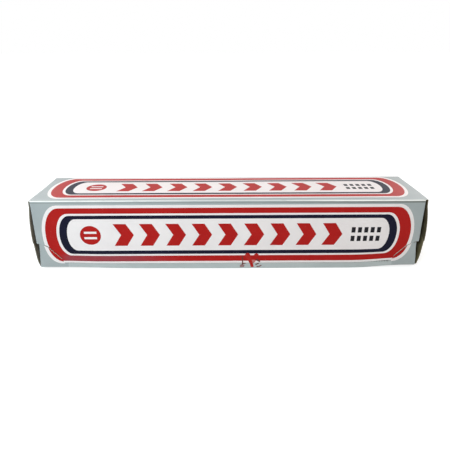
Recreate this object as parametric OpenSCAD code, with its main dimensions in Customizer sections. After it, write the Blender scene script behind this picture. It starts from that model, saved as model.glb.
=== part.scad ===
// A roll of cooking foil in its carton. A folded card tray holds the roll on its card core. The lid
// folds back along the rear top edge. Its front flap has parted from the strip glued to the tray
// along a torn line, and a toothed blade is fixed inside the flap's lower edge. The end flaps bow
// out past the front panel, and each has torn along a slant into the tray's part and the lid's ear.
// X runs along the roll, Y from the front face to the back face, Z up. The origin is under the middle.

/* [Foil and core] */
// Width of the foil, along the roll
foil_w = 250; // [150:1:450]
// Thickness of the foil wound on the core
foil_wrap = 1.6; // [0.8:0.1:4]
// Number of stepped groups of turns that show on the foil's ends
turn_groups = 4; // [2:1:6]
// How far the groups of turns stand in and out at the ends
turn_step = 0.4; // [0.1:0.05:0.8]
// How far the free edge of the last turn lifts off the roll
loose_lift = 1; // [0.4:0.1:2]
// Outside diameter of the card core
core_d = 33; // [25:0.5:36]
// Wall of the card core
core_wall = 1.5; // [0.8:0.1:3]
// How far the core stands out of the foil at each end
core_over = 1; // [0.5:0.25:4]
// Free room between the core and each end of the tray
end_room = 0.8; // [0.3:0.1:4]
// Space left under the resting roll
roll_seat = 0.2; // [0.1:0.05:0.5]

/* [Carton] */
// Outside depth of the closed carton, from front face to back face
carton_d = 50; // [44:0.5:70]
// Outside height of the closed carton
carton_h = 50.4; // [45:0.2:70]
// Thickness of the folding boxboard
card_t = 0.5; // [0.3:0.05:0.7]
// Layers of board glued together in the flat wall at each end of the tray
end_plies = 2; // [1:1:3]
// Outside radius of the long folds
fold_r = 1; // [0.8:0.1:2]
// How far the left end folds stand out past the side of the front panel
stand_left = 0.5; // [0.2:0.1:2]
// How far the right end folds stand out past the side of the front panel
stand_right = 1.1; // [0.2:0.1:2]
// How far the left end flap bows out from its folds
bow_left = 2.5; // [0.5:0.1:5]
// How far the right end flap bows out from its folds
bow_right = 3.1; // [0.5:0.1:5]
// Height of the tray's own front wall, behind the flap
front_wall_h = 38; // [24:0.5:42]

/* [Lid] */
// Gap between the lid's side gussets and the tray's end walls
ear_gap = 0.7; // [0.3:0.1:1.5]
// Depth of the gusset folded back from each side of the front flap
gusset_l = 14; // [6:0.5:24]
// Gap between the lid's top panel and the upper edges of the tray
lid_gap = 0.3; // [0.2:0.05:0.8]
// Height of the ears at the hinge
ear_rear_h = 0.6; // [0.2:0.1:4]

/* [Torn line] */
// Gap left along the torn line
tear_gap = 0.35; // [0.3:0.05:0.8]
// Height of the glued strip between its corner pieces
strip_h = 4.2; // [3:0.1:8]
// Width of each corner piece at its foot
corner_w = 16; // [12:0.5:24]
// Height of each corner piece at the carton's side
corner_h = 19.6; // [14:0.2:24]
// Width of the gently sloping start of the torn line at the side
lead_w = 7.5; // [4:0.5:10]
// Fall of that start
lead_drop = 3.1; // [1:0.1:5]
// Rise of the torn line's steep foot, next to the strip
foot_rise = 2.6; // [1:0.1:6]
// Reach of that foot
foot_reach = 0.7; // [0.2:0.1:3]

/* [Blade] */
// Height of the blade, with its teeth
blade_h = 8; // [5:0.5:12]
// Thickness of the blade
blade_t = 0.2; // [0.1:0.05:0.4]
// Gap between the blade and the tray's front wall
blade_gap = 0.3; // [0.2:0.05:0.6]
// Distance from one tooth to the next
tooth_pitch = 1.8; // [1:0.1:4]
// Height of the teeth
tooth_h = 1.2; // [0.6:0.1:2]
// How far the blade stops short of the flap's lower corners
blade_inset = 1; // [0.5:0.5:10]

/* [Print] */
// Thickness of the printed fields
ink_t = 0.05; // [0.03:0.01:0.1]
// Plain margin between the front print and the carton's sides
print_side = 4.7; // [3:0.1:10]
// Plain margin between the top print and the carton's sides
print_top_side = 4.1; // [3:0.1:10]
// Plain margin between the front print and the front top fold
print_front_top = 2.8; // [2:0.1:6]
// Plain margin between the top print and the front top fold
print_top_front = 5; // [2:0.1:8]
// Plain margin between the top print and the rear top fold
print_top_rear = 1.7; // [1:0.1:6]
// Widths of the white, red, white and navy bands along the upper or rear long side
band_side = [2, 3.95, 1.4, 2.5]; // [0.5:0.05:5]
// Widths of the same bands along the lower or front long side
band_low = [1.9, 4.3, 1.3, 2.7]; // [0.5:0.05:5]
// Widths of the same bands at the round ends
band_end = [2.2, 7.5, 1.8, 5.1]; // [1:0.1:10]
// Height of the round at each corner of the print
corner_arc = 21.3; // [8:0.1:30]
// Length of that round as a share of its height
nose = 0.55; // [0.3:0.05:1]
// How far the print on the corner pieces has slipped outwards and down
print_slip = 0.9; // [0:0.1:1.5]
// Number of chevrons in the white field
chevrons = 9; // [3:1:12]
// Thickness of each chevron along the row
chevron_t = 8.6; // [4:0.2:10]
// Reach of each chevron's point
chevron_point = 5; // [2:0.5:8]
// Plain margin above and below the chevrons
chevron_margin = 3.6; // [2:0.1:5]
// Room kept at each end of the white field, beside the chevrons
chevron_end = 31; // [20:1:45]
// Side of the small badge beside the chevrons
badge = 14; // [8:0.5:15]
// Rows of small marks on the other side
mark_rows = 2; // [1:1:3]
// Number of small marks in a row
marks = 5; // [3:1:7]
// Width of one small mark
mark_w = 2.6; // [1:0.1:3]
// Height of one small mark
mark_h = 4; // [2:0.1:4.5]
// Distance from one small mark to the next along a row
mark_pitch_x = 4.2; // [3.2:0.1:4.6]
// Distance from one row of small marks to the next
mark_pitch_z = 6.4; // [5:0.1:7]

/* [Hidden] */
$fn = 120;

past = 1;
sliver = 0.05;
core_fit = 0.05;
foil_t = 0.15;
weld = 0.04;

roll_d = core_d + 2*foil_wrap;
core_l = foil_w + 2*core_over;
end_wall = end_plies*card_t;
tray_w = core_l + 2*end_room + 2*end_wall;
carton_w = tray_w + 2*ear_gap + 2*card_t;
full_w = carton_w + 2*max(stand_left + bow_left, stand_right + bow_right);

front_y = -carton_d/2;
back_y = carton_d/2;
wall_y = front_y + card_t + blade_t + blade_gap;
tray_top = carton_h - card_t - lid_gap;
roll_y = (wall_y + back_y)/2;
roll_z = card_t + roll_seat + roll_d/2;

flap_foot = strip_h + tear_gap;
ear_back = carton_h - card_t - ear_rear_h - tear_gap;
foot_x = carton_w/2 - corner_w;
lead_bend = [0.6, 0.45];

print_h = carton_h - print_front_top - strip_h;
print_top_h = carton_d - print_top_front - print_top_rear;
front_print_z = carton_h - print_front_top - print_h/2;
top_print_y = front_y + print_top_front + print_top_h/2;

// Sum of the first n entries of a list
function sum_to(list, n) = n == 0 ? 0 : list[n - 1] + sum_to(list, n - 1);

// Reach of the print's outline after n bands: along the panel, with the side margin m, and up and
// down from the middle on a panel with the print height h
function reach_x(n, m) = carton_w/2 - m - sum_to(band_end, n);
function reach_up(n, h) = h/2 - sum_to(band_side, n);
function reach_down(n, h) = h/2 - sum_to(band_low, n);

// A 2D shape drawn in the Y-Z plane, extruded along X about the middle
module along_x(length) {
    translate([-length/2, 0, 0]) rotate([90, 0, 90]) linear_extrude(length) children();
}

// A 2D shape drawn in the X-Z plane, extruded from y towards the front by t
module towards_front(y, t) {
    translate([0, y, 0]) rotate([90, 0, 0]) linear_extrude(t) children();
}

// A rectangle from corner to corner with round corners
module round_rect(x0, x1, y0, y1, r) {
    translate([x0 + r, y0]) square([x1 - x0 - 2*r, y1 - y0]);
    translate([x0, y0 + r]) square([x1 - x0, y1 - y0 - 2*r]);
    for (x = [x0 + r, x1 - r], y = [y0 + r, y1 - r]) translate([x, y]) circle(r);
}

// The space inside a bowed end flap that folds at x, from x0 outwards, as a section in X and Z
module end_bulge(x0, x, bow, z0, z1) {
    r = (carton_h*carton_h/4 + bow*bow)/(2*bow);
    intersection() {
        translate([x + bow - r, carton_h/2]) circle(r, $fn = 360);
        translate([x0, z0]) square([x + bow + past - x0, z1 - z0]);
    }
}

// Its two ends: the section that the first child draws goes to the right, the second to the left
module on_both_ends(y0, y1) {
    towards_front(y1, y1 - y0) children(0);
    mirror([1, 0, 0]) towards_front(y1, y1 - y0) children(1);
}

// The torn line on the right, from beyond the carton's side in to the strip
tear_right = [
    [full_w, corner_h],
    [carton_w/2, corner_h],
    [carton_w/2 - lead_bend[0]*lead_w, corner_h - lead_bend[1]*lead_drop],
    [carton_w/2 - lead_w, corner_h - lead_drop],
    [foot_x, strip_h + foot_rise],
    [foot_x - foot_reach, strip_h]];

// Both sides of it in one run, from right to left
tear_left = [for (i = [len(tear_right) - 1 : -1 : 0]) [-tear_right[i][0], tear_right[i][1]]];
tear_line = concat(tear_right, tear_left);

// Everything above the torn line on the front, moved up by the gap
module above_tear() {
    translate([0, tear_gap])
        polygon(concat([[-full_w, carton_h + past], [full_w, carton_h + past]], tear_line));
}

// What lies below it, as wide as the tray
module below_tear() {
    intersection() {
        polygon(concat([[-full_w, 0], [full_w, 0]], tear_line));
        translate([-tray_w/2, 0]) square([tray_w, carton_h]);
    }
}

// What lies above the slanting tear across the ends, raised by lift
module above_slant(lift) {
    along_x(full_w + 4*past)
        polygon([[front_y - past, corner_h + lift], [front_y + card_t, corner_h + lift],
                 [back_y, ear_back + lift], [back_y + past, ear_back + lift],
                 [back_y + past, 2*carton_h], [front_y - past, 2*carton_h]]);
}

// Section of the tray's end flap, which folds up from the bottom panel
module tray_flap(stand, bow) {
    side_x = tray_w/2;
    fold_x = side_x + stand;
    full_bow = bow + ear_gap + card_t;
    difference() {
        end_bulge(side_x - card_t, fold_x, full_bow, -past, carton_h + past);
        translate([-card_t, 0]) end_bulge(side_x + card_t, fold_x, full_bow, card_t, carton_h + 2*past);
    }
}

// Section of the lid's ear, which folds down from the top panel
module lid_ear(stand, bow) {
    side_x = carton_w/2;
    fold_x = side_x + stand;
    difference() {
        end_bulge(side_x - card_t, fold_x, bow, -past, carton_h + past);
        translate([-card_t, 0]) end_bulge(side_x - card_t, fold_x, bow, -2*past, carton_h - card_t);
    }
}

// Folded card: bottom, back wall, inner front wall, glued end walls and the bowed end flaps
module tray() {
    color("gainsboro") {
        difference() {
            along_x(tray_w) round_rect(wall_y, back_y, 0, carton_h + fold_r, fold_r);
            along_x(tray_w - 2*end_wall)
                round_rect(wall_y + card_t, back_y - card_t, card_t, carton_h + 2*fold_r, fold_r - card_t/2);
            translate([0, 0, tray_top + carton_h/2])
                cube([tray_w + 2*past, carton_d + 2*past, carton_h], center = true);
            translate([-(tray_w/2 - end_wall), wall_y - past, front_wall_h])
                cube([tray_w - 2*end_wall, card_t + 2*past, carton_h]);
        }
        difference() {
            intersection() {
                along_x(full_w + 2*past) round_rect(wall_y, back_y, 0, carton_h + fold_r, fold_r);
                on_both_ends(wall_y, back_y) {
                    tray_flap(stand_right, bow_right);
                    tray_flap(stand_left, bow_left);
                }
            }
            above_slant(0);
        }
    }
}

// The strip and corner pieces of the front panel that stay glued to the tray when the lid parts
module front_strip() {
    color("silver") towards_front(wall_y, card_t) below_tear();
}

// Folded card: top panel, front flap down to the torn line, side gussets and a bowed ear at each end
module lid() {
    color("silver") {
        difference() {
            along_x(carton_w) round_rect(front_y, back_y, -carton_h, carton_h, fold_r);
            along_x(carton_w - 2*card_t)
                round_rect(front_y + card_t, back_y + 3*past, -carton_h - past, carton_h - card_t, fold_r - card_t/2);
            difference() {
                towards_front(front_y + card_t + past, card_t + 2*past)
                    translate([-full_w/2, -carton_h - past])
                        square([full_w, carton_h + past + corner_h + tear_gap]);
                towards_front(front_y + card_t + 2*past, card_t + 4*past) above_tear();
            }
            translate([-full_w/2, front_y + gusset_l, -carton_h - past])
                cube([full_w, carton_d, 2*carton_h + past - card_t]);
            difference() {
                translate([-full_w/2, front_y + card_t, -carton_h - past])
                    cube([full_w, carton_d, 2*carton_h]);
                above_slant(tear_gap);
            }
        }
        intersection() {
            along_x(full_w + 2*past) round_rect(front_y, back_y, 0, carton_h, fold_r);
            on_both_ends(front_y + card_t, back_y) {
                lid_ear(stand_right, bow_right);
                lid_ear(stand_left, bow_left);
            }
            above_slant(tear_gap);
        }
    }
}

// Serrated steel strip, fixed to the inside of the flap with its teeth at the flap's lower edge
module cutter_blade() {
    room = 2*(foot_x - foot_reach - blade_inset);
    teeth = floor(room/tooth_pitch);
    half = teeth*tooth_pitch/2;
    color("gray")
        towards_front(front_y + card_t + blade_t, blade_t)
            polygon(concat(
                [for (i = [0 : teeth - 1], k = [0, 1])
                    [(i + k/2)*tooth_pitch - half, flap_foot + (k == 0 ? tooth_h : 0)]],
                [[half, flap_foot + tooth_h], [half, flap_foot + blade_h], [-half, flap_foot + blade_h]]));
}

// Half section of the wound foil: the turns show as stepped groups on both ends
module wound_section() {
    inner = core_d/2 + core_fit;
    group = (roll_d/2 - inner)/turn_groups;
    function inset(i) = i % 2 == 0 ? 0 : turn_step;
    polygon(concat(
        [for (i = [0 : turn_groups - 1], k = [0, 1]) [inner + (i + k)*group, inset(i) - foil_w/2]],
        [for (i = [turn_groups - 1 : -1 : 0], k = [1, 0]) [inner + (i + k)*group, foil_w/2 - inset(i)]]));
}

// All turns of foil as one solid, with the last turn lifting off towards its free edge
module foil_roll() {
    start = 20;
    sweep = 115;
    reach = roll_d/2 + loose_lift;
    color("lightsteelblue")
        translate([0, roll_y, roll_z]) {
            rotate([0, 90, 0]) rotate_extrude() wound_section();
            along_x(foil_w - 2*turn_step)
                intersection() {
                    translate([-(loose_lift + weld)*cos(start), -(loose_lift + weld)*sin(start)])
                        difference() {
                            circle(reach + foil_t);
                            circle(reach);
                        }
                    polygon([[0, 0], roll_d*[cos(start), sin(start)],
                             roll_d*[cos(start + sweep/2), sin(start + sweep/2)],
                             roll_d*[cos(start + sweep), sin(start + sweep)]]);
                }
        }
}

// Wound card tube, open right through
module core_tube() {
    color("burlywood")
        translate([0, roll_y, roll_z]) rotate([0, 90, 0])
            difference() {
                cylinder(h = core_l, d = core_d, center = true);
                cylinder(h = core_l + 2*past, d = core_d - 2*core_wall, center = true);
            }
}

// The print's outline after n bands, with the side margin m and the height h: straight sides and
// round ends
module track(n, m, h) {
    steps = 10;
    l = reach_x(n, m);
    round_h = min(corner_arc, h/2 - sliver);
    polygon([for (corner = [0 : 3], i = [0 : steps])
        let (turn = 90*(corner - 1 + i/steps),
             right = corner < 2 ? 1 : -1,
             up = corner == 1 || corner == 2 ? 1 : -1,
             v = up > 0 ? reach_up(n, h) : reach_down(n, h),
             tall = round_h - h/2 + v,
             long = nose*tall)
        [right*(l - long) + long*cos(turn), up*(v - tall) + tall*sin(turn)]]);
}

// The band between the outlines n and n + 1
module band(n, m, h) {
    difference() {
        track(n, m, h);
        track(n + 1, m, h);
    }
}

module chevron_row(m, h) {
    low = chevron_margin - reach_down(4, h);
    high = reach_up(4, h) - chevron_margin;
    room = 2*(reach_x(4, m) - chevron_end) - chevron_t - chevron_point;
    for (i = [0 : chevrons - 1])
        translate([room*(i/(chevrons - 1) - 1/2) - (chevron_t + chevron_point)/2, 0])
            polygon([[0, low], [chevron_t, low], [chevron_t + chevron_point, (low + high)/2],
                     [chevron_t, high], [0, high], [chevron_point, (low + high)/2]]);
}

// A plain round badge with two bars cut out of it
module badge_shape(m) {
    translate([-(reach_x(4, m) - chevron_end/2), 0])
        difference() {
            circle(d = badge);
            for (side = [-1, 1]) translate([0, side*badge/7]) square([0.6*badge, badge/9], center = true);
        }
}

// Rows of plain small bars
module mark_field(m) {
    for (row = [0 : mark_rows - 1], i = [0 : marks - 1])
        translate([reach_x(4, m) - chevron_end/2 + (i - (marks - 1)/2)*mark_pitch_x,
                   (row - (mark_rows - 1)/2)*mark_pitch_z])
            square([mark_w, mark_h], center = true);
}

module red_shapes(m, h) {
    band(1, m, h);
    chevron_row(m, h);
    badge_shape(m);
}

module white_shapes(m, h) {
    band(0, m, h);
    band(2, m, h);
    difference() {
        track(4, m, h);
        chevron_row(m, h);
        badge_shape(m);
        mark_field(m);
    }
}

// Printed fields on the flap, kept off the torn line, and the same on the top panel
module on_flap() {
    towards_front(front_y, ink_t)
        intersection() {
            translate([0, front_print_z]) children();
            above_tear();
        }
}

module on_top() {
    translate([0, top_print_y, carton_h]) linear_extrude(ink_t) children();
}

// Printed fields on one corner piece, slipped against those on the flap
module on_corner(side) {
    foot = foot_x - foot_reach;
    towards_front(wall_y - card_t, ink_t)
        intersection() {
            translate([side*print_slip, front_print_z - print_slip]) children();
            below_tear();
            translate([side*(foot + corner_w), corner_h]) square([2*corner_w, 2*corner_h], center = true);
        }
}

module lid_white_print() {
    color("white") {
        on_flap() white_shapes(print_side, print_h);
        on_top() white_shapes(print_top_side, print_top_h);
    }
}

module lid_red_print() {
    color("firebrick") {
        on_flap() red_shapes(print_side, print_h);
        on_top() red_shapes(print_top_side, print_top_h);
    }
}

module lid_navy_print() {
    color("midnightblue") {
        on_flap() band(3, print_side, print_h);
        on_top() band(3, print_top_side, print_top_h);
    }
}

module lid_black_print() {
    color("black") {
        on_flap() mark_field(print_side);
        on_top() mark_field(print_top_side);
    }
}

module strip_white_print() {
    color("white") for (side = [-1, 1]) on_corner(side) band(0, print_side, print_h);
}

module strip_red_print() {
    color("firebrick") for (side = [-1, 1]) on_corner(side) band(1, print_side, print_h);
}

tray();
front_strip();
lid();
cutter_blade();
foil_roll();
core_tube();
lid_white_print();
lid_red_print();
lid_navy_print();
lid_black_print();
strip_white_print();
strip_red_print();
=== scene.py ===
import math

import bpy
from mathutils import Matrix, Vector


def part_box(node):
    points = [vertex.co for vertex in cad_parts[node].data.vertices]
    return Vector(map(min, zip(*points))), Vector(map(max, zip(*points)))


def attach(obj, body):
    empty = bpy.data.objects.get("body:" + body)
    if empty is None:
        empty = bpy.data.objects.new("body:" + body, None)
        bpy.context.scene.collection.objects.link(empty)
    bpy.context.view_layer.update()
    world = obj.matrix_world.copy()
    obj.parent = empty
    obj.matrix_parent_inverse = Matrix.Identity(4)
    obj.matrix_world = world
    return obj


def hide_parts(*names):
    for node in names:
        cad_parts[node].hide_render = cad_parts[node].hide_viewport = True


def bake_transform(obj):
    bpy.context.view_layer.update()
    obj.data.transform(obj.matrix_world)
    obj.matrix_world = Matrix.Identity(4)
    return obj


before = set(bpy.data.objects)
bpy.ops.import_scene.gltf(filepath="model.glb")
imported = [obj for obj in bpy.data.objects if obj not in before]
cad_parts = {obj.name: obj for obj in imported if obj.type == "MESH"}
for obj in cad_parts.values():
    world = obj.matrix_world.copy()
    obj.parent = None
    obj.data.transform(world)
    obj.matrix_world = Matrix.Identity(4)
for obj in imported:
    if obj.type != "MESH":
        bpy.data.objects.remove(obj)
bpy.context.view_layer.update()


# The view. The carton is seen from just in front and above, so that its front and top both show and the
# near bottom edge looks longer than the far top one.

lens_px, image_px = 421.0, 450.0
eye = Vector((-0.0030, -0.2800, 0.1501))
look_down, look_aside, tilt = math.radians(20.57), math.radians(-0.23), math.radians(-0.185)
bpy.ops.object.select_all(action="DESELECT")
bpy.ops.object.camera_add(location=eye)
camera = bpy.context.object
camera.name = "camera"
camera.rotation_mode = "QUATERNION"
camera.rotation_quaternion = (
    Matrix.Rotation(look_aside, 3, "Z")
    @ Matrix.Rotation(math.pi / 2 - look_down, 3, "X")
    @ Matrix.Rotation(tilt, 3, "Z")
).to_quaternion()
camera.data.sensor_fit = "HORIZONTAL"
camera.data.sensor_width = 36.0
camera.data.lens = 36.0 * lens_px / image_px
camera.data.shift_y = -30.0 / image_px
camera.data.clip_start = 0.01
bpy.context.scene.camera = camera
bpy.context.scene.view_settings.view_transform = "Standard"


# The table and the studio. A white table, white all round, a cool soft box to the left of the carton, a
# warm weak one to its right and one overhead, all far enough round that the carton's ends stay in shade.
# Two more stand behind it on the left and the right, for its back and for its ends seen from there.

def knot(tree, kind, **inputs):
    """One shader node. A name with two underscores is a property, any other an input's name."""
    node = tree.nodes.new(kind)
    for name, value in inputs.items():
        if name.endswith("__"):
            setattr(node, name[:-2], value)
            continue
        key = int(name[1:]) if name[0] == "i" and name[1:].isdigit() else name.replace("_", " ")
        if isinstance(value, bpy.types.NodeSocket):
            tree.links.new(value, node.inputs[key])
        else:
            node.inputs[key].default_value = value
    return node


def sums(tree, how, a, b=0.0):
    return knot(tree, "ShaderNodeMath", operation__=how, i0=a, i1=b).outputs[0]


def new_material(name):
    material = bpy.data.materials.new(name)
    material.use_nodes = True
    material.node_tree.nodes.clear()
    return material


def seen_straight(tree):
    """1 where the camera sees this straight, or in a gloss or through glass, 0 where it only lights."""
    path = knot(tree, "ShaderNodeLightPath").outputs
    mirrored = sums(tree, "MAXIMUM", path["Is Glossy Ray"], path["Is Transmission Ray"])
    return sums(tree, "MAXIMUM", path["Is Camera Ray"], mirrored)


bpy.ops.mesh.primitive_plane_add(size=8.0, location=(0, 0, -0.0002))
table = bpy.context.object
table.name = "table"
white_table = new_material("white_table")
tree = white_table.node_tree
paint = knot(tree, "ShaderNodeBsdfDiffuse", Color=(0.52, 0.52, 0.52, 1))
place = knot(tree, "ShaderNodeTexCoord").outputs["Object"]
from_middle = knot(tree, "ShaderNodeVectorMath", operation__="LENGTH", i0=place).outputs["Value"]
far_share = knot(tree, "ShaderNodeMapRange", Value=from_middle)
for socket, value in (("From Min", 0.3), ("From Max", 1.4), ("To Min", 0.74), ("To Max", 1.0)):
    far_share.inputs[socket].default_value = value
shown = sums(tree, "MULTIPLY", seen_straight(tree), far_share.outputs[0])
glow = knot(tree, "ShaderNodeEmission", Strength=shown)
both = knot(tree, "ShaderNodeAddShader", i0=paint.outputs[0], i1=glow.outputs[0])
knot(tree, "ShaderNodeOutputMaterial", Surface=both.outputs[0])
table.data.materials.append(white_table)

world = bpy.data.worlds.new("white_room")
world.use_nodes = True
bpy.context.scene.world = world
tree = world.node_tree
tree.nodes.clear()
dim = knot(tree, "ShaderNodeBackground", Color=(1.0, 0.97, 0.88, 1), Strength=0.255)
white = knot(tree, "ShaderNodeBackground", Color=(1, 1, 1, 1), Strength=1.0)
either = knot(tree, "ShaderNodeMixShader", Fac=seen_straight(tree), i1=dim.outputs[0], i2=white.outputs[0])
knot(tree, "ShaderNodeOutputWorld", Surface=either.outputs[0])


def soft_box(name, place, aim, width, height, watts, colour):
    bpy.ops.object.light_add(type="AREA", location=place)
    lamp = bpy.context.object
    lamp.name = name
    lamp.data.shape = "RECTANGLE"
    lamp.data.size, lamp.data.size_y = width, height
    lamp.data.energy = watts
    lamp.data.color = colour
    lamp.rotation_mode = "QUATERNION"
    lamp.rotation_quaternion = (Vector(aim) - Vector(place)).to_track_quat("-Z", "Y")
    lamp.visible_camera = False
    return lamp


soft_box("left_box", (-0.26, -0.46, 0.40), (-0.05, 0, 0.02), 0.16, 0.20, 2.6, (0.84, 1.0, 1.06))
soft_box("right_box", (0.24, -0.48, 0.34), (0.06, 0, 0.02), 0.16, 0.20, 0.28, (1.0, 0.66, 0.38))
soft_box("back_left_box", (-0.46, 0.44, 0.34), (0, 0, 0.03), 0.20, 0.16, 0.9, (1.0, 0.99, 0.97))
soft_box("back_right_box", (0.46, 0.44, 0.34), (0, 0, 0.03), 0.20, 0.16, 0.9, (1.0, 0.98, 0.96))
soft_box("top_box", (-0.02, 0.02, 0.75), (0, 0, 0.05), 0.22, 0.30, 0.95, (1.0, 0.90, 0.92))


# The carton's board: folding boxboard half a millimetre thick, printed silver-grey outside and bare grey
# inside. It has been opened and shut again, so the lower front corners are pushed up and out a little, the
# rear top edge sags a hair on the left, and the long front fold is rubbed to its white liner. Light and shade
# are also painted on the board: a painted highlight along the front fold and painted shade in the score
# below it, darker boards on the right end as painted shade, and a lighter middle on the strip's front as
# painted light.

def linear(r, g, b):
    """A colour as it looks on screen, 0 to 255 a channel, as a shader takes it."""
    curve = [c / 255 / 12.92 if c <= 10.3 else ((c / 255 + 0.055) / 1.055) ** 2.4 for c in (r, g, b)]
    return (*curve, 1.0)


def ramp(tree, value, low, high):
    """0 at low, 1 at high, smooth between; low may be the larger."""
    node = knot(tree, "ShaderNodeMapRange", interpolation_type__="SMOOTHSTEP", Value=value)
    node.inputs["From Min"].default_value = low
    node.inputs["From Max"].default_value = high
    return node.outputs[0]


def noise(tree, where, scale, detail=3.0, rough=0.55):
    node = knot(tree, "ShaderNodeTexNoise", Vector=where, Scale=scale, Detail=detail, Roughness=rough)
    return node.outputs[0]


def stretched(tree, where, scale):
    return knot(tree, "ShaderNodeMapping", Vector=where, Scale=scale).outputs[0]


def mixed(tree, share, first, second):
    node = knot(tree, "ShaderNodeMix", data_type__="RGBA")
    for i, value in ((0, share), (6, first), (7, second)):
        if isinstance(value, bpy.types.NodeSocket):
            tree.links.new(value, node.inputs[i])
        else:
            node.inputs[i].default_value = value
    return node.outputs[2]


def finish_paper(material, colour, rough, gloss, bumps):
    """The shader of a board or an ink. bumps are (height, strength, distance), the coarsest first."""
    tree = material.node_tree
    shade = knot(tree, "ShaderNodeBsdfPrincipled", Base_Color=colour, Roughness=rough)
    shade.inputs["Specular IOR Level"].default_value = gloss
    normal = None
    for height, strength, distance in bumps:
        bump = knot(tree, "ShaderNodeBump", Strength=strength, Distance=distance, Height=height)
        if normal:
            tree.links.new(normal, bump.inputs["Normal"])
        normal = bump.outputs[0]
    tree.links.new(normal, shade.inputs["Normal"])
    knot(tree, "ShaderNodeOutputMaterial", Surface=shade.outputs[0])
    return material


low_corner, high_corner = (Vector(corner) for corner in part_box("lid"))
front_y, top_z = low_corner.y, high_corner.z
fold_r = 0.001


def silver_board(name, dark, pale):
    material = new_material(name)
    tree = material.node_tree
    place = knot(tree, "ShaderNodeTexCoord").outputs["Object"]
    x, y, z = knot(tree, "ShaderNodeSeparateXYZ", Vector=place).outputs
    clouds = ramp(tree, noise(tree, place, 26.0), 0.35, 0.7)
    colour = mixed(tree, clouds, dark, pale)
    specks = ramp(tree, noise(tree, place, 1400.0, 2.0), 0.66, 0.76)
    colour = mixed(tree, sums(tree, "MULTIPLY", specks, 0.35), colour, linear(214, 218, 216))
    # the front top fold: round its middle it is worn to the liner, with a painted highlight laid over the wear,
    # strongest towards the ends, and the score below it is painted darker as shade, deeper to the right.
    # round_fold is the angle round the fold, 0 where the board faces the front and pi / 2 where it faces up
    up, out = sums(tree, "SUBTRACT", z, top_z - fold_r), sums(tree, "SUBTRACT", front_y + fold_r, y)
    round_fold = sums(tree, "ARCTAN2", up, out)
    rightward = ramp(tree, x, 0.0, 0.12)
    ends = ramp(tree, sums(tree, "ABSOLUTE", sums(tree, "SUBTRACT", x, 0.004)), 0.012, 0.085)
    uneven = ramp(tree, noise(tree, stretched(tree, place, (70, 260, 260)), 1.0), 0.10, 0.45)
    highlight_angle = sums(tree, "SUBTRACT", 1.30, sums(tree, "MULTIPLY", rightward, 0.60))
    off = sums(tree, "ABSOLUTE", sums(tree, "SUBTRACT", round_fold, highlight_angle))
    wear_and_glint_strength = sums(tree, "ADD", 0.52, sums(tree, "MULTIPLY", ends, 0.48))
    wear_and_highlight = sums(tree, "MULTIPLY", ramp(tree, off, 0.62, 0.40), wear_and_glint_strength)
    # painted highlight: this white is the worn liner together with a painted highlight along the fold
    colour = mixed(tree, sums(tree, "MULTIPLY", wear_and_highlight, uneven), colour, linear(255, 255, 252))
    shade_angle = sums(tree, "SUBTRACT", -0.05, sums(tree, "MULTIPLY", rightward, 0.20))
    off = sums(tree, "ABSOLUTE", sums(tree, "SUBTRACT", round_fold, shade_angle))
    shade_depth = sums(tree, "ADD", 0.30, sums(tree, "MULTIPLY", rightward, 0.42))
    painted_shade = sums(tree, "MULTIPLY", ramp(tree, off, 0.62, 0.36), shade_depth)
    # painted shade: the score under the fold is darkened as the shade that falls there
    colour = mixed(tree, painted_shade, colour, linear(96, 98, 90))
    # the pressed board's slight waves, and its paper grain
    waves = noise(tree, stretched(tree, place, (14, 40, 40)), 1.0, 2.0)
    grain = noise(tree, place, 1800.0, 3.0, 0.6)
    return finish_paper(material, colour, 0.46, 0.28, ((waves, 0.12, 0.002), (grain, 0.10, 0.0001)))


def bare_board(name, dark, pale):
    """Unprinted recycled board: grey-brown pulp with paler and darker fibres."""
    material = new_material(name)
    tree = material.node_tree
    place = knot(tree, "ShaderNodeTexCoord").outputs["Object"]
    pulp = noise(tree, place, 120.0, 4.0, 0.6)
    fibres = noise(tree, stretched(tree, place, (500, 1500, 1500)), 1.0, 4.0, 0.7)
    mash = sums(tree, "ADD", sums(tree, "MULTIPLY", pulp, 0.6), sums(tree, "MULTIPLY", fibres, 0.4))
    colour = mixed(tree, ramp(tree, mash, 0.35, 0.65), dark, pale)
    flecks = ramp(tree, noise(tree, stretched(tree, place, (300, 900, 900)), 1.0, 2.0), 0.70, 0.76)
    colour = mixed(tree, sums(tree, "MULTIPLY", flecks, 0.5), colour, linear(92, 84, 74))
    return finish_paper(material, colour, 0.85, 0.2, ((pulp, 0.15, 0.0004), (fibres, 0.3, 0.00012)))


outside = silver_board("silver_board", linear(171, 178, 180), linear(180, 186, 187))
inside = bare_board("bare_inside", linear(148, 140, 126), linear(170, 162, 147))
cut_edge = bare_board("cut_edge", linear(112, 106, 94), linear(140, 134, 120))
# painted shade: darker boards used only at the right end, for its inner faces and cut edges; the foot's is a
# little paler
right_shade_edge = bare_board("right_shade_edge", linear(82, 74, 54), linear(102, 92, 70))
right_shade_foot = bare_board("right_shade_foot", linear(106, 96, 68), linear(132, 120, 90))
torn_liner = bare_board("torn_liner", linear(226, 220, 212), linear(244, 240, 234))
# painted shadow: a dark film for the shade where a torn edge stands off, with a little of the grey core
torn_core_and_shadow = bare_board("torn_core_and_shadow", linear(70, 62, 54), linear(98, 88, 78))


def smooth(value, low, high):
    """0 up to low, 1 from high, smooth between."""
    share = min(1.0, max(0.0, (value - low) / (high - low)))
    return share * share * (3.0 - 2.0 * share)


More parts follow.
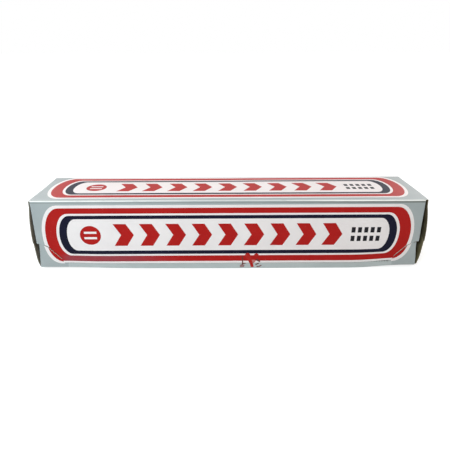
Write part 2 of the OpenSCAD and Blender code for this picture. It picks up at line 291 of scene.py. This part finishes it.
def settled(place):
    """Where a point of the straight carton is on this used one."""
    x, y, z = place
    # the low front corners: pushed up over half the height, or only at the foot, and spread outwards
    high = 0.0021 * smooth(x, 0.084, 0.122) + 0.0007 * smooth(-x, 0.085, 0.112)
    low = 0.0005 * smooth(-x, 0.0, 0.080) + 0.0012 * smooth(-x, 0.062, 0.115)
    low -= 0.0007 * smooth(-x, 0.085, 0.112)
    pushed = high * (1.0 - smooth(z, 0.003, 0.026)) + low * (1.0 - smooth(z, 0.001, 0.006))
    pushed *= smooth(-y, -0.004, 0.021)
    spread = 0.0013 * smooth(abs(x), 0.114, 0.1278) * (1.0 - smooth(z, 0.001, 0.018))
    spread *= smooth(-y, -0.010, 0.020)
    # the right side of the front eased out, the rear top edge sagging, the ears' top corners splayed
    eased = 0.00045 * smooth(x, 0.060, 0.108) * (1.0 - smooth(x, 0.121, 0.1285)) * smooth(z, 0.018, 0.032)
    sag = 0.00015 * smooth(x, -0.120, -0.100) * (1.0 - smooth(x, -0.005, 0.025))
    sag *= smooth(y, -0.012, 0.022) * smooth(z, 0.036, 0.050)
    splayed = 0.0008 * smooth(x, 0.1288, 0.1300) * smooth(-y, -0.024, 0.010)
    splayed -= 0.0007 * smooth(-x, 0.1288, 0.1295) * smooth(-y, 0.000, 0.018)
    splayed *= smooth(z, 0.0475, 0.0500)
    return Vector((x + math.copysign(spread, x) + eased + splayed, y, z + pushed - sag))


# the planes, in mm along X, Y and Z, that cut the board finely where it moves most
cuts_mm = {
    (1, 0, 0): (
        -126, -121, -116, -110, -104, -98, -90, -82, -74, -66, -30, -5, 0,
        12, 25, 60, 84, 90, 96, 102, 108, 113, 118, 122, 126,
    ),
    (0, 1, 0): (-20, -15, -10, -4, 2, 8, 14, 20),
    (0, 0, 1): (1, 2, 3, 4, 5, 6.5, 8, 11, 14, 17, 20, 24, 38, 42, 46),
}
across = [(Vector(normal), 0.001 * place) for normal, places in cuts_mm.items() for place in places]


def used_copy(node, materials, side_of):
    """A copy of a CAD node, merged, cut across finely enough to settle, with its faces given to materials."""
    name = "used_" + node
    piece = bpy.data.objects.new(name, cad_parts[node].data.copy())
    piece.data.name = name
    bpy.context.scene.collection.objects.link(piece)
    bpy.ops.object.select_all(action="DESELECT")
    bpy.context.view_layer.objects.active = piece
    piece.select_set(True)
    bpy.ops.object.mode_set(mode="EDIT")
    bpy.ops.mesh.select_all(action="SELECT")
    bpy.ops.mesh.remove_doubles(threshold=0.000001)
    for normal, place in across:
        bpy.ops.mesh.select_all(action="SELECT")
        bpy.ops.mesh.bisect(plane_co=normal * place, plane_no=normal, threshold=0.000001)
    bpy.ops.mesh.select_all(action="SELECT")
    bpy.ops.mesh.dissolve_degenerate(threshold=0.000002)
    bpy.ops.object.mode_set(mode="OBJECT")
    piece.data.materials.clear()
    for material in materials:
        piece.data.materials.append(material)
    for face in piece.data.polygons:
        face.material_index = side_of(face.center, face.normal)
    for vertex in piece.data.vertices:
        vertex.co = settled(vertex.co)
    bpy.ops.object.shade_smooth_by_angle(angle=math.radians(28))
    # wide faces lead the shading, so that the narrow ones between two cuts don't show
    even = piece.modifiers.new("even", "WEIGHTED_NORMAL")
    even.mode, even.weight, even.keep_sharp = "FACE_AREA", 80, True
    bpy.ops.object.modifier_apply(modifier=even.name)
    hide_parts(node)
    return piece


OUTSIDE, INSIDE, CUT, RIGHT_SHADE = range(4)
STRIP_LIT = 3  # on the strip, which has no right-end shade board: its front's middle, painted lighter as light


def lid_side(place, normal):
    out_x = normal.x * math.copysign(1.0, place.x)
    # the right end's inner faces and front edges take the board painted as shade
    if place.x > 0.1291 and (normal.x < -0.4 or normal.y < -0.9):
        return RIGHT_SHADE
    if abs(normal.x) > 0.4:
        return OUTSIDE if out_x > 0 else INSIDE
    if normal.y < -0.3:
        return OUTSIDE if place.y < front_y + 0.0004 or normal.z > 0.05 else CUT
    if normal.z > 0.3:
        return OUTSIDE
    inner_face = normal.z < -0.9 and place.z > top_z - 0.0006 or normal.y > 0.9 and place.y < front_y + 0.0006
    by_fold = place.z > top_z - 0.0012 and place.y < front_y + 0.0012
    inner_fold = by_fold and normal.z < -0.05 and normal.y > 0.05
    return INSIDE if inner_face or inner_fold else CUT


lid = used_copy("lid", (outside, inside, cut_edge, right_shade_edge), lid_side)
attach(lid, "lid")

wall_y, back_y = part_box("tray")[0][1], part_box("tray")[1][1]
tray_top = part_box("tray")[1][2]
end_wall_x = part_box("front_strip")[1][0]


def tray_side(place, normal):
    # the right end's inner faces and front edges take the board painted as shade
    if place.x > end_wall_x and (normal.x < -0.4 or normal.y < -0.9):
        return RIGHT_SHADE
    if abs(normal.x) > 0.4:
        return OUTSIDE if normal.x * place.x > 0 and abs(place.x) > end_wall_x - 0.0001 else INSIDE
    past_end = abs(place.x) > end_wall_x
    if place.z < 0.0011 and normal.z < -0.05 or normal.y > 0.9 and place.y > back_y - 0.0001 and not past_end:
        return OUTSIDE
    if normal.y < -0.9 and place.y < wall_y + 0.0001:
        return CUT if past_end else OUTSIDE
    front_top = place.y < wall_y + 0.0006 and place.z > 0.030
    cut_top = normal.z > 0.3 and (place.z > tray_top - 0.0001 or past_end or front_top)
    return CUT if cut_top or past_end and abs(normal.y) > 0.9 else INSIDE


tray = used_copy("tray", (outside, inside, cut_edge, right_shade_foot), tray_side)
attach(tray, "tray")


def strip_side(place, normal):
    if normal.y < -0.9:
        return STRIP_LIT if abs(place.x) < 0.112 and place.z < 0.0043 else OUTSIDE
    return INSIDE if normal.y > 0.9 else CUT


# painted light: a lighter silver for the middle of the strip's front, standing in for the light it catches
strip_painted_light = silver_board("silver_board_painted_light", linear(188, 195, 195), linear(196, 202, 202))
strip = used_copy("front_strip", (outside, inside, cut_edge, strip_painted_light), strip_side)
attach(strip, "tray")


# The torn edges. The flap has been ripped off the glued strip along a line, so the printed face has come
# away from the pulp in ragged margins: pale where the liner split, and dark films as painted shadow, with
# some of the grey core, where it stands off.

# the right half of the line and the gap along it, in mm
torn_line = [(129.0, 19.6), (124.5, 18.2), (121.5, 16.5), (113.0, 6.8), (112.3, 4.2)]
tear_gap = 0.35
strip_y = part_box("front_strip")[0][1]


def ragged(step, seed):
    """A repeatable uneven number from -1 to 1 for each step along a tear."""
    turn = math.sin(step * 12.9898 + seed * 78.233) * 43758.5453
    quick = 2.0 * (turn - math.floor(turn)) - 1.0
    return 0.55 * quick + 0.45 * math.sin(step * 0.83 + seed * 2.1) * math.sin(step * 0.31 + seed)


def thicken(piece, thickness):
    """Turns a flat sheet to the front and makes it a closed film, thickened forwards."""
    if sum(face.normal.y * face.area for face in piece.data.polygons) > 0:
        piece.data.flip_normals()
    thick = piece.modifiers.new("thick", "SOLIDIFY")
    thick.thickness = thickness
    thick.offset = 1.0
    bpy.ops.object.modifier_apply(modifier="thick")


def torn_margin(name, body, line, face_y, near, far, seed, material):
    """A jagged film of torn paper along a line of (x, z) in mm, from near to far mm off it, on a face."""
    spots = []
    for (x0, z0), (x1, z1) in zip(line, line[1:]):
        length = math.hypot(x1 - x0, z1 - z0)
        count = max(1, round(length / 0.3))
        for i in range(count):
            share = i / count
            spot = (x0 + (x1 - x0) * share, z0 + (z1 - z0) * share)
            spots.append((*spot, (z0 - z1) / length, (x1 - x0) / length))
    bpy.ops.object.select_all(action="DESELECT")
    bpy.ops.mesh.primitive_grid_add(x_subdivisions=len(spots) - 1, y_subdivisions=2, size=1.0)
    piece = bpy.context.object
    piece.name = piece.data.name = name
    for vertex in piece.data.vertices:
        i = round((vertex.co.x + 0.5) * (len(spots) - 1))
        row = round((vertex.co.y + 0.5) * 2)
        x, z, out_x, out_z = spots[i]
        fade = min(1.0, i / 3.0, (len(spots) - 1 - i) / 3.0)
        frayed = far + 0.45 * (far - near) * ragged(i, seed + 1.7)
        edges = (near + 0.10 * ragged(i, seed), (near + far) / 2, frayed)
        off = edges[row] * fade + near * (1.0 - fade)
        vertex.co = settled((0.001 * (x + out_x * off), face_y, 0.001 * (z + out_z * off)))
    bpy.ops.object.mode_set(mode="EDIT")
    bpy.ops.mesh.select_all(action="SELECT")
    bpy.ops.mesh.remove_doubles(threshold=0.000002)
    bpy.ops.mesh.normals_make_consistent(inside=False)
    bpy.ops.object.mode_set(mode="OBJECT")
    thicken(piece, 0.00005)
    piece.data.materials.append(material)
    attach(piece, body)
    return piece


left_line = [(-x, z) for x, z in torn_line]
flap_right = [(x, z + tear_gap) for x, z in torn_line]
flap_left = [(x, z + tear_gap) for x, z in left_line]
# off a line that runs down and inwards, positive is up and out on the left, down and out on the right
film_y = 0.00006
torn_margin("tear_flap_left", "lid", flap_left[1:4], front_y - film_y, 0.0, 0.40, 1, torn_core_and_shadow)
torn_margin("tear_strip_left", "tray", left_line[1:4], strip_y - film_y, 0.0, -0.26, 2, torn_liner)
torn_margin("tear_flap_right", "lid", flap_right[1:4], front_y - film_y, 0.0, -0.22, 3, torn_liner)
torn_margin("tear_strip_right", "tray", torn_line[1:4], strip_y - film_y, 0.0, 0.50, 4, torn_core_and_shadow)
notch_line = [(128.4, 19.9), (125.2, 18.8)]
torn_margin("tear_notch_right", "lid", notch_line, front_y - film_y, 0.0, -0.40, 5, torn_core_and_shadow)


# The print: white, red and navy offset inks in rings round the panel, with plain generic marks inside.
# The inks are thin films on the board, a little mottled by its grain, and have settled with it. The red
# has been rubbed dull along the left third of the lower band.

def ink(name, colour, mottled, gloss, dull=None):
    """An offset ink. dull is its colour where the lower band is rubbed."""
    material = new_material(name)
    tree = material.node_tree
    place = knot(tree, "ShaderNodeTexCoord").outputs["Object"]
    clouds = ramp(tree, noise(tree, place, 60.0), 0.3, 0.75)
    tone = mixed(tree, clouds, colour, mottled)
    if dull:
        # patchy from the left corner to where it fades out, a third of the way along, and not above the band
        x, _, z = knot(tree, "ShaderNodeSeparateXYZ", Vector=place).outputs
        along = sums(tree, "MULTIPLY", ramp(tree, x, -0.117, -0.107), ramp(tree, x, -0.026, -0.080))
        low = sums(tree, "MULTIPLY", along, ramp(tree, z, 0.0130, 0.0100))
        patchy = ramp(tree, noise(tree, stretched(tree, place, (120, 400, 400)), 1.0), 0.15, 0.45)
        tone = mixed(tree, sums(tree, "MULTIPLY", low, patchy), tone, dull)
    grain = noise(tree, place, 1500.0, 3.0, 0.6)
    tone = mixed(tree, sums(tree, "MULTIPLY", ramp(tree, grain, 0.62, 0.75), 0.06), tone, linear(206, 206, 204))
    waves = noise(tree, stretched(tree, place, (14, 40, 40)), 1.0, 2.0)
    return finish_paper(material, tone, 0.42, gloss, ((waves, 0.12, 0.002), (grain, 0.08, 0.0001)))


white_ink = ink("white_ink", linear(252, 243, 243), linear(247, 238, 238), 0.28)
red_ink = ink("red_ink", linear(184, 26, 22), linear(177, 20, 18), 0.16, dull=linear(158, 65, 73))
navy_ink = ink("navy_ink", linear(6, 8, 38), linear(3, 4, 30), 0.13)
black_ink = ink("black_ink", linear(18, 18, 24), linear(24, 24, 30), 0.16)
for node, body, slot, material in (
    ("lid_white_print", "lid", "white_ink", white_ink),
    ("lid_red_print", "lid", "red_ink", red_ink),
    ("lid_navy_print", "lid", "navy_ink", navy_ink),
    ("lid_black_print", "lid", "black_ink", black_ink),
    ("strip_white_print", "tray", "white_ink", white_ink),
    ("strip_red_print", "tray", "red_ink", red_ink),
):
    film = used_copy(node, (material,), lambda place, normal: 0)
    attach(film, body)


# The opening mark, a worn hand-struck stroke over the flap's lower edge, where the thumb breaks it open.
# It is printed across the tear line, so half of it is on the flap and half on the glued strip.

def stroke(name, body, outline, face_y, low, high, material):
    """A flat printed film from an outline of (x, z) in mm, kept between two heights."""
    bpy.ops.object.select_all(action="DESELECT")
    bpy.ops.mesh.primitive_circle_add(vertices=len(outline), radius=0.01, fill_type="NGON")
    piece = bpy.context.object
    piece.name = piece.data.name = name
    for vertex, (x, z) in zip(piece.data.vertices, outline):
        vertex.co = (0.001 * x, face_y, 0.001 * z)
    bpy.ops.object.mode_set(mode="EDIT")
    for level, over in ((low, False), (high, True)):
        bpy.ops.mesh.select_all(action="SELECT")
        bpy.ops.mesh.bisect(
            plane_co=(0, 0, 0.001 * level), plane_no=(0, 0, 1), clear_inner=not over, clear_outer=over
        )
    bpy.ops.mesh.select_all(action="SELECT")
    bpy.ops.mesh.normals_make_consistent(inside=False)
    bpy.ops.object.mode_set(mode="OBJECT")
    thicken(piece, 0.00004)
    piece.data.materials.append(material)
    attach(piece, body)
    return piece


mark_red = ink("mark_red", linear(188, 34, 26), linear(176, 26, 20), 0.22)
mark_brown = ink("mark_brown", linear(120, 52, 44), linear(98, 42, 38), 0.22)
mark_rose = ink("mark_rose", linear(206, 128, 124), linear(190, 104, 100), 0.22)
mark_smear = ink("mark_smear", linear(164, 132, 132), linear(142, 106, 108), 0.22)
slash = [
    (11.4, 10.4), (12.0, 11.5), (13.0, 12.2), (14.2, 12.0), (14.9, 11.2), (15.6, 9.7), (16.1, 6.9),
    (16.9, 4.3), (17.8, 0.9), (15.7, 0.9), (14.9, 4.0), (13.5, 6.9), (12.4, 8.6),
]
nick = [(17.6, 10.6), (18.5, 11.6), (19.6, 11.9), (20.8, 11.2), (20.9, 9.8), (19.4, 9.4), (17.9, 9.6)]
fork = [(9.2, 9.8), (10.0, 9.9), (10.4, 7.4), (10.3, 5.0), (10.1, 2.6), (9.4, 2.6), (9.6, 5.2), (9.5, 7.6)]
twig = [(10.1, 4.1), (12.1, 4.6), (12.9, 4.3), (11.9, 3.7), (10.3, 3.1)]
smear = [(8.3, 2.7), (9.3, 3.0), (11.4, 2.6), (11.0, 0.9), (8.1, 0.8)]
blush = [(15.9, 6.8), (18.2, 6.9), (18.9, 5.6), (17.6, 4.3), (17.0, 3.0), (16.4, 4.6)]
rise = [(19.0, 7.3), (19.8, 7.8), (21.9, 6.1), (22.2, 5.2), (21.2, 5.2), (19.6, 6.2)]
drift = [(18.7, 3.2), (20.0, 3.7), (21.3, 4.5), (21.7, 4.1), (20.6, 3.2), (19.2, 2.4)]
low_dash = [(19.6, 1.7), (20.9, 1.6), (22.9, 2.6), (23.2, 2.1), (21.8, 1.2), (19.9, 0.8)]
strip_edge = torn_line[-1][1]
flap_edge = strip_edge + tear_gap
least_top = 4.6  # a stroke that ends lower than this isn't drawn on the flap
for number, (outline, material) in enumerate((
    (blush, mark_rose), (smear, mark_smear), (slash, mark_red), (nick, mark_red), (fork, mark_brown),
    (twig, mark_brown), (rise, mark_brown), (drift, mark_brown), (low_dash, mark_brown),
), 1):
    heights = [z for x, z in outline]
    lift = 0.00005 + 0.000004 * number
    if max(heights) > least_top:
        stroke(f"mark_flap_{number}", "lid", outline, front_y - lift, flap_edge, 20.0, material)
    if min(heights) < strip_edge:
        stroke(f"mark_strip_{number}", "tray", outline, strip_y - lift, 0.5, strip_edge, material)


# The hinge crease: the board runs on from the back wall into the top panel, crushed thin along the score.

crease_grey = bare_board("crease_grey", linear(150, 158, 158), linear(182, 188, 186))
hinge_y, hinge_z = 0.0250, 0.0499
crease_t = 0.00042
crease_low = hinge_z - 0.00035
bpy.ops.object.select_all(action="DESELECT")
bpy.ops.mesh.primitive_cube_add(size=1.0)
crease = bpy.context.object
crease.name = crease.data.name = "hinge_crease"
crease.scale = (2 * end_wall_x - 0.0004, crease_t, crease_t)
crease.location = (0, hinge_y - crease_t / 2, crease_low + crease_t / 2)
bpy.ops.object.transform_apply(location=True, rotation=True, scale=True)
bpy.ops.object.mode_set(mode="EDIT")
for share in (0.1, 0.25, 0.4, 0.55, 0.7, 0.85):
    bpy.ops.mesh.select_all(action="SELECT")
    bpy.ops.mesh.bisect(plane_co=(0, 0, crease_low + crease_t * share), plane_no=(0, 0, 1))
for share in range(1, 64):
    bpy.ops.mesh.select_all(action="SELECT")
    bpy.ops.mesh.bisect(plane_co=(end_wall_x * (share / 32 - 1), 0, 0), plane_no=(1, 0, 0))
bpy.ops.object.mode_set(mode="OBJECT")
for vertex in crease.data.vertices:
    height = (vertex.co.z - crease_low) / crease_t
    if vertex.co.y > hinge_y - 0.0001:
        vertex.co.y -= 0.00010 * math.sin(math.pi * height)
    vertex.co = settled(vertex.co)
crease.data.materials.append(crease_grey)
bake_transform(crease)


# The foil: ten metres wound tight on the core, all turns in one. Its ends show the edges of the turns, and
# its face has fine rolling lines round it and the soft dents and creases of handled foil.

roll_low, roll_high = (Vector(corner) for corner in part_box("core_tube"))
axis_y, axis_z = (roll_low.y + roll_high.y) / 2, (roll_low.z + roll_high.z) / 2


def round_roll(tree):
    """The turn round the roll's axis, in radians, the distance from it and the place along it."""
    place = knot(tree, "ShaderNodeTexCoord").outputs["Object"]
    x, y, z = knot(tree, "ShaderNodeSeparateXYZ", Vector=place).outputs
    dy, dz = sums(tree, "SUBTRACT", y, axis_y), sums(tree, "SUBTRACT", z, axis_z)
    far = sums(tree, "SQRT", sums(tree, "ADD", sums(tree, "MULTIPLY", dy, dy), sums(tree, "MULTIPLY", dz, dz)))
    return place, x, sums(tree, "ARCTAN2", dz, dy), far


def dress(node, material):
    """Gives a CAD node, which stays as it is, its only material."""
    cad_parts[node].data.materials.clear()
    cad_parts[node].data.materials.append(material)


bright_foil = new_material("bright_foil")
tree = bright_foil.node_tree
place, x, turn, far = round_roll(tree)
rolling = noise(tree, stretched(tree, place, (2600, 25, 25)), 1.0, 3.0, 0.6)
dents = noise(tree, stretched(tree, place, (45, 110, 110)), 1.0, 3.0)
patches = stretched(tree, place, (60, 140, 140))
creased = knot(tree, "ShaderNodeTexVoronoi", feature__="DISTANCE_TO_EDGE", Vector=patches, Scale=1.0)
turned = sums(tree, "DIVIDE", turn, math.tau)
turns = sums(tree, "FRACT", sums(tree, "ADD", sums(tree, "MULTIPLY", far, 4200.0), turned))
lines = sums(tree, "MULTIPLY", ramp(tree, turns, 0.25, 0.0), 0.25)
on_ends = ramp(tree, sums(tree, "ABSOLUTE", x), 0.1240, 0.1248)
silver_tone = mixed(tree, ramp(tree, rolling, 0.3, 0.7), linear(176, 178, 182), linear(204, 206, 209))
silver_tone = mixed(tree, sums(tree, "MULTIPLY", on_ends, lines), silver_tone, linear(110, 112, 116))
shade = knot(tree, "ShaderNodeBsdfPrincipled", Base_Color=silver_tone, Metallic=1.0, Roughness=0.30)
first = knot(tree, "ShaderNodeBump", Strength=0.16, Distance=0.0012, Height=dents)
folds = ramp(tree, creased.outputs["Distance"], 0.0, 0.12)
second = knot(tree, "ShaderNodeBump", Strength=0.10, Distance=0.0004, Height=folds, Normal=first.outputs[0])
third = knot(tree, "ShaderNodeBump", Strength=0.10, Distance=0.00008, Height=rolling, Normal=second.outputs[0])
tree.links.new(third.outputs[0], shade.inputs["Normal"])
knot(tree, "ShaderNodeOutputMaterial", Surface=shade.outputs[0])
dress("foil_roll", bright_foil)


# The core: a tube of brown card wound in a spiral, with the seam of its outer ply showing in the bore and
# at both ends, where the saw has left the plies as faint rings.

core_card = new_material("core_card")
tree = core_card.node_tree
place, x, turn, far = round_roll(tree)
pulp = noise(tree, stretched(tree, place, (500, 1200, 1200)), 1.0, 4.0, 0.7)
brown = mixed(tree, ramp(tree, pulp, 0.3, 0.7), linear(164, 134, 98), linear(190, 162, 124))
turned = sums(tree, "DIVIDE", turn, math.tau)
along = sums(tree, "FRACT", sums(tree, "ADD", sums(tree, "MULTIPLY", x, 14.0), turned))
off_seam = sums(tree, "ABSOLUTE", sums(tree, "SUBTRACT", along, 0.5))
seam = sums(tree, "MULTIPLY", ramp(tree, off_seam, 0.012, 0.004), 0.6)
brown = mixed(tree, seam, brown, linear(96, 72, 48))
plies = sums(tree, "FRACT", sums(tree, "MULTIPLY", far, 2600.0))
brown = mixed(tree, sums(tree, "MULTIPLY", ramp(tree, plies, 0.2, 0.0), 0.35), brown, linear(112, 86, 58))
raised = sums(tree, "SUBTRACT", pulp, seam)
finish_paper(core_card, brown, 0.85, 0.2, ((raised, 0.3, 0.0002), (plies, 0.08, 0.0001)))
dress("core_tube", core_card)


# The blade: a strip of thin sheet steel with a row of teeth, blanked and pressed to the flap's inside. Its
# rolling marks run along it, and small round clinches hold it to the board.

blade_top = Vector(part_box("cutter_blade")[1])
blade_steel = new_material("blade_steel")
tree = blade_steel.node_tree
place = knot(tree, "ShaderNodeTexCoord").outputs["Object"]
drawn = noise(tree, stretched(tree, place, (40, 3000, 5000)), 1.0, 3.0, 0.6)
steel = mixed(tree, ramp(tree, drawn, 0.3, 0.7), linear(142, 144, 147), linear(170, 172, 175))
dull = ramp(tree, noise(tree, place, 160.0), 0.55, 0.75)
steel = mixed(tree, sums(tree, "MULTIPLY", dull, 0.35), steel, linear(120, 117, 112))
shade = knot(tree, "ShaderNodeBsdfPrincipled", Base_Color=steel, Metallic=1.0, Roughness=0.32)
rub = knot(tree, "ShaderNodeBump", Strength=0.2, Distance=0.00005, Height=drawn)
tree.links.new(rub.outputs[0], shade.inputs["Normal"])
knot(tree, "ShaderNodeOutputMaterial", Surface=shade.outputs[0])
dress("cutter_blade", blade_steel)

# each clinch is half of a flattened ball, its flat side on the blade
clinches, clinch_pitch, clinch_flat = 9, 0.024, 0.17
bpy.ops.object.select_all(action="DESELECT")
bpy.ops.mesh.primitive_uv_sphere_add(
    segments=24, ring_count=12, radius=0.0011, rotation=(math.pi / 2, 0, 0)
)
first_clinch = bpy.context.object
bpy.ops.object.transform_apply(location=True, rotation=True, scale=True)
for vertex in first_clinch.data.vertices:
    vertex.co.y = clinch_flat * max(0.0, vertex.co.y)
clinch_y, clinch_z = blade_top.y - 0.00003, blade_top.z - 0.0022
for i in range(clinches):
    x = clinch_pitch * (i - (clinches - 1) / 2)
    last = i == clinches - 1
    clinch = first_clinch if last else first_clinch.copy()
    if not last:
        clinch.data = first_clinch.data.copy()
        bpy.context.scene.collection.objects.link(clinch)
    clinch.name = clinch.data.name = f"blade_clinch_{i + 1}"
    clinch.data.transform(Matrix.Translation((x, clinch_y, clinch_z)))
    clinch.data.materials.append(blade_steel)
    for face in clinch.data.polygons:
        face.use_smooth = True
    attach(clinch, "lid")
